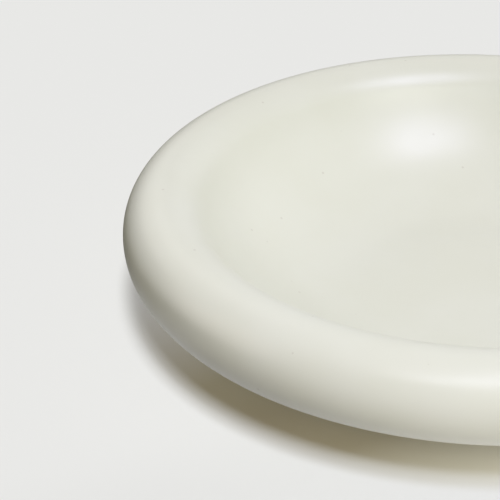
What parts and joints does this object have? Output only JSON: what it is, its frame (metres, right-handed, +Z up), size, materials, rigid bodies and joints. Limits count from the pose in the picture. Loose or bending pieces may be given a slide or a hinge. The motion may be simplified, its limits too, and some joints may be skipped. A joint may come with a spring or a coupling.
{
  "type": "soup plate",
  "caption": "Deep round soup plate of cream glazed stoneware with a fat hollow rolled rim, a smooth curved well and a bare clay foot ring to stand on.",
  "frame": {"origin": "on the table, under the centre of the plate", "axes": "+Z up along the plate's axis of turning, X and Y across it, with the kiln vent on the +Y side"},
  "size_m": [0.24, 0.24, 0.043],
  "materials": {
    "clay": "bare fired stoneware, matt and slightly gritty",
    "glaze": "satin cream glaze with fine pale brown specks",
    "silicone": "matt pale silicone"
  },
  "bodies": {
    "root": {"well_dish": "clay", "rim_ring": "clay", "foot_ring": "clay", "glaze_coat": "glaze", "base_glaze": "glaze", "vent_plug": "silicone"}
  },
  "joints": []
}
